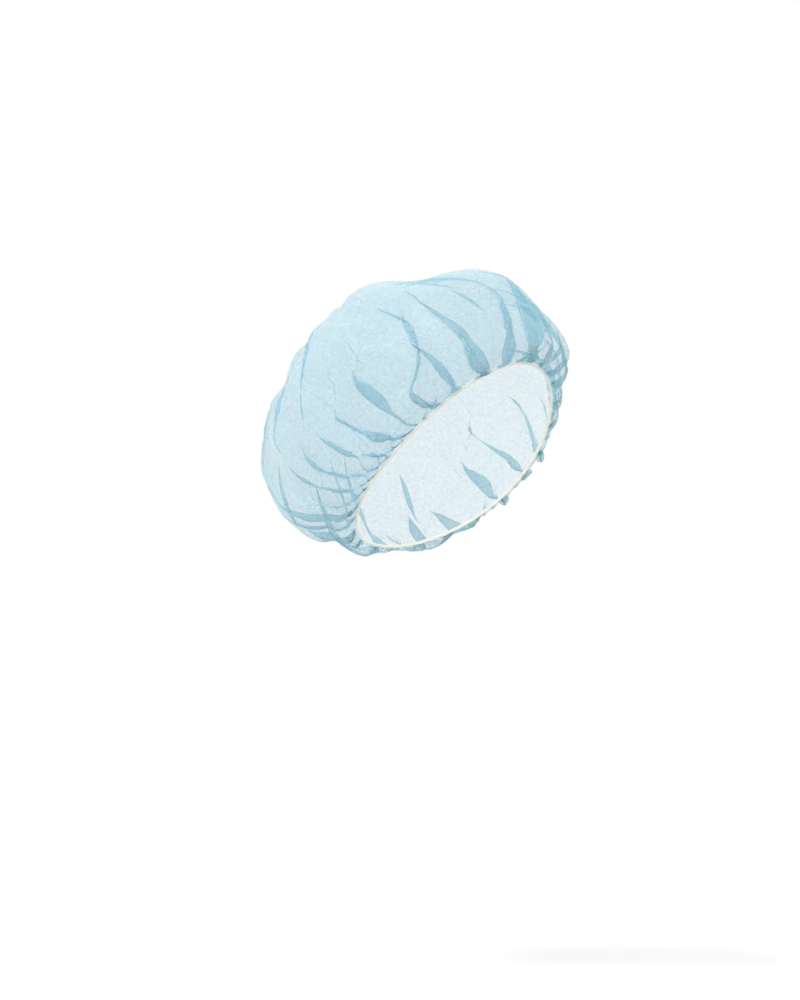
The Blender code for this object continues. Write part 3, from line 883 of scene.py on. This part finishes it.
class MESH_OT_cap_elastic(bpy.types.Operator):
    """Make the narrow knitted elastic that the cloth's edge is gathered on"""

    bl_idname = "mesh.cap_elastic"
    bl_label = "Elastic"

    def execute(self, context):
        rim = context.scene.cap_rim
        shape = bmesh.new()
        half, deep = rim.band_width / 2, rim.band_thickness / 2
        bevel = half * 0.8
        section = [(-deep, -bevel), (-deep * 0.5, -half), (deep * 0.5, -half), (deep, -bevel)]
        section += [(-x, -y) for x, y in section]
        ring = [shape.verts.new((1.0 + x, 0.0, y)) for x, y in section]
        edges = [shape.edges.new((a, b)) for a, b in zip(ring, ring[1:] + ring[:1])]
        bmesh.ops.spin(
            shape, geom=ring + edges, cent=(0.0, 0.0, 0.0), axis=(0.0, 0.0, 1.0), angle=2.0 * math.pi,
            steps=rim.band_ribs * 4, use_merge=True, use_duplicate=False,
        )
        bmesh.ops.remove_doubles(shape, verts=shape.verts, dist=1e-6)
        bmesh.ops.recalc_face_normals(shape, faces=shape.faces)
        shape.verts.index_update()
        turns = {}
        for vertex in shape.verts:
            turn = math.atan2(vertex.co.y, vertex.co.x)
            turns[vertex.index] = turn
            out = math.hypot(vertex.co.x, vertex.co.y) - 1.0
            rib = 1.0 + RIB_HEIGHT * math.cos(rim.band_ribs * turn)
            wave = 1.0 + WAVE_HEIGHT * math.sin(WAVE_COUNT * turn)
            pucker = sum(height * math.sin(many * turn + start) for many, height, start in PUCKERS)
            vertex.co = self.place(rim, turn, out * rib, vertex.co.z * wave + pucker)
        bmesh.ops.transform(shape, matrix=to_row(rim), verts=shape.verts)
        layer = shape.loops.layers.uv.new("along_elastic")
        for face in shape.faces:
            here = turns[face.verts[0].index]
            for loop in face.loops:
                turn = turns[loop.vert.index]
                turn += round((here - turn) / (2.0 * math.pi)) * 2.0 * math.pi
                loop[layer].uv = (turn / (2.0 * math.pi), loop.vert.co.z)
        mesh = bpy.data.meshes.new("knitted_elastic")
        shape.to_mesh(mesh)
        shape.free()
        mesh.shade_smooth()
        mesh.materials.append(knit(rim))
        piece = bpy.data.objects.new("knitted_elastic", mesh)
        context.scene.collection.objects.link(piece)
        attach(piece, "root")
        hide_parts("elastic_band")
        return {"FINISHED"}

    def place(self, rim, turn, out, lift):
        """A point of the band in the rim's frame, by its turn and its offsets from the middle."""
        ahead, aside = math.cos(turn), math.sin(turn)
        across = -(rim.rim_width / 2) * aside * (1.0 - rim.rim_taper * ahead)
        along = -(rim.rim_length / 2) * ahead
        drop = -rim.rim_dip * aside**2
        return Vector((across - out * aside, along - out * ahead, drop + lift))


class MESH_OT_cap_stage(bpy.types.Operator):
    """Make the pale floor with its backdrop, the soft lights and the camera"""

    bl_idname = "mesh.cap_stage"
    bl_label = "Stage"

    def execute(self, context):
        stage = context.scene.cap_stage
        self.make_floor(context, stage)
        self.make_lights(context)
        self.make_camera(context, stage)
        return {"FINISHED"}

    def make_floor(self, context, stage):
        """A floor that sweeps up into a backdrop all round, without an edge in sight."""
        shape = bmesh.new()
        start = shape.verts.new((0.0, 0.0, 0.0))
        bmesh.ops.create_circle(shape, segments=96, radius=FLOOR_RADIUS, cap_ends=True)
        shape.verts.remove(start)
        rim_edges = [edge for edge in shape.edges if edge.is_boundary]
        for radius, height in FLOOR_RINGS:
            grown = bmesh.ops.extrude_edge_only(shape, edges=rim_edges)["geom"]
            ring = [part for part in grown if isinstance(part, bmesh.types.BMVert)]
            rim_edges = [part for part in grown if isinstance(part, bmesh.types.BMEdge)]
            for vertex in ring:
                flat = Vector((vertex.co.x, vertex.co.y, 0.0)).normalized() * radius
                vertex.co = (flat.x, flat.y, height)
        bmesh.ops.recalc_face_normals(shape, faces=shape.faces)
        bmesh.ops.reverse_faces(shape, faces=shape.faces)
        bmesh.ops.translate(shape, verts=shape.verts, vec=(0.0, 0.0, -stage.floor_drop))
        mesh = bpy.data.meshes.new("floor")
        shape.to_mesh(mesh)
        shape.free()
        mesh.shade_smooth()
        mesh.materials.append(pale_floor(stage))
        floor = bpy.data.objects.new("floor", mesh)
        context.scene.collection.objects.link(floor)

    def make_lights(self, context):
        """A bright overcast room, with a lamp from the upper left of the picture, one from its
        right and one from above and behind."""
        world = bpy.data.worlds.new("room")
        world.use_nodes = True
        background = world.node_tree.nodes["Background"]
        background.inputs["Color"].default_value = (1.0, 1.0, 1.0, 1.0)
        background.inputs["Strength"].default_value = ROOM_LIGHT
        context.scene.world = world
        for row in LAMPS:
            lamp = bpy.data.lights.new(row.name, "AREA")
            lamp.shape = "DISK"
            lamp.size = row.size
            lamp.energy = row.power
            light = bpy.data.objects.new(row.name, lamp)
            light.location = row.place
            light.rotation_euler = (-Vector(row.place)).to_track_quat("-Z", "Y").to_euler()
            context.scene.collection.objects.link(light)

    def make_camera(self, context, stage):
        """The camera, placed so that the middle of the rim falls on its place in the picture."""
        turn, rise, roll = stage.azimuth, stage.elevation, stage.roll
        level_share = math.cos(rise)
        back = Vector((math.sin(turn) * level_share, -math.cos(turn) * level_share, math.sin(rise)))
        level = Vector((math.cos(turn), math.sin(turn), 0.0))
        upright = back.cross(level)
        right = math.cos(roll) * level + math.sin(roll) * upright
        top = -math.sin(roll) * level + math.cos(roll) * upright
        metres = stage.distance / (stage.lens / SENSOR * PICTURE_HEIGHT)
        data = bpy.data.cameras.new("camera")
        data.lens = stage.lens
        data.sensor_width = SENSOR
        data.clip_end = 50.0
        camera = bpy.data.objects.new("camera", data)
        place = back * stage.distance
        place -= right * (RIM_X - PICTURE_WIDTH / 2) * metres
        place -= top * (PICTURE_HEIGHT / 2 - RIM_Y) * metres
        camera.matrix_world = Matrix.Translation(place) @ Matrix((right, top, back)).transposed().to_4x4()
        context.scene.collection.objects.link(camera)
        context.scene.camera = camera
        context.scene.view_settings.view_transform = "Standard"
        context.scene.cycles.transparent_max_bounces = 48
        context.scene.cycles.use_denoising = True


class VIEW3D_PT_cap(bpy.types.Panel):
    """Sizes, colours and buttons of the cap"""

    bl_idname = "VIEW3D_PT_cap"
    bl_label = "Bouffant Cap"
    bl_space_type = "VIEW_3D"
    bl_region_type = "UI"
    bl_category = "Bouffant Cap"

    def draw(self, context):
        for group in (context.scene.cap_rim, context.scene.cap_cloth, context.scene.cap_stage):
            box = self.layout.box()
            for name in group.__annotations__:
                box.prop(group, name)
        for operator in OPERATORS:
            self.layout.operator(operator.bl_idname)


OPERATORS = (MESH_OT_cap_stage, MESH_OT_cap_elastic, MESH_OT_cap_cloth)
GROUPS = (CapRim, CapCloth, CapStage)


def register():
    for group in (*GROUPS, *OPERATORS, VIEW3D_PT_cap):
        bpy.utils.register_class(group)
    bpy.types.Scene.cap_rim = PointerProperty(type=CapRim)
    bpy.types.Scene.cap_cloth = PointerProperty(type=CapCloth)
    bpy.types.Scene.cap_stage = PointerProperty(type=CapStage)


def unregister():
    del bpy.types.Scene.cap_stage
    del bpy.types.Scene.cap_cloth
    del bpy.types.Scene.cap_rim
    for group in reversed((*GROUPS, *OPERATORS, VIEW3D_PT_cap)):
        bpy.utils.unregister_class(group)


def main():
    register()
    bpy.ops.mesh.cap_stage()
    bpy.ops.mesh.cap_elastic()
    bpy.ops.mesh.cap_cloth()


if __name__ == "__main__":
    main()
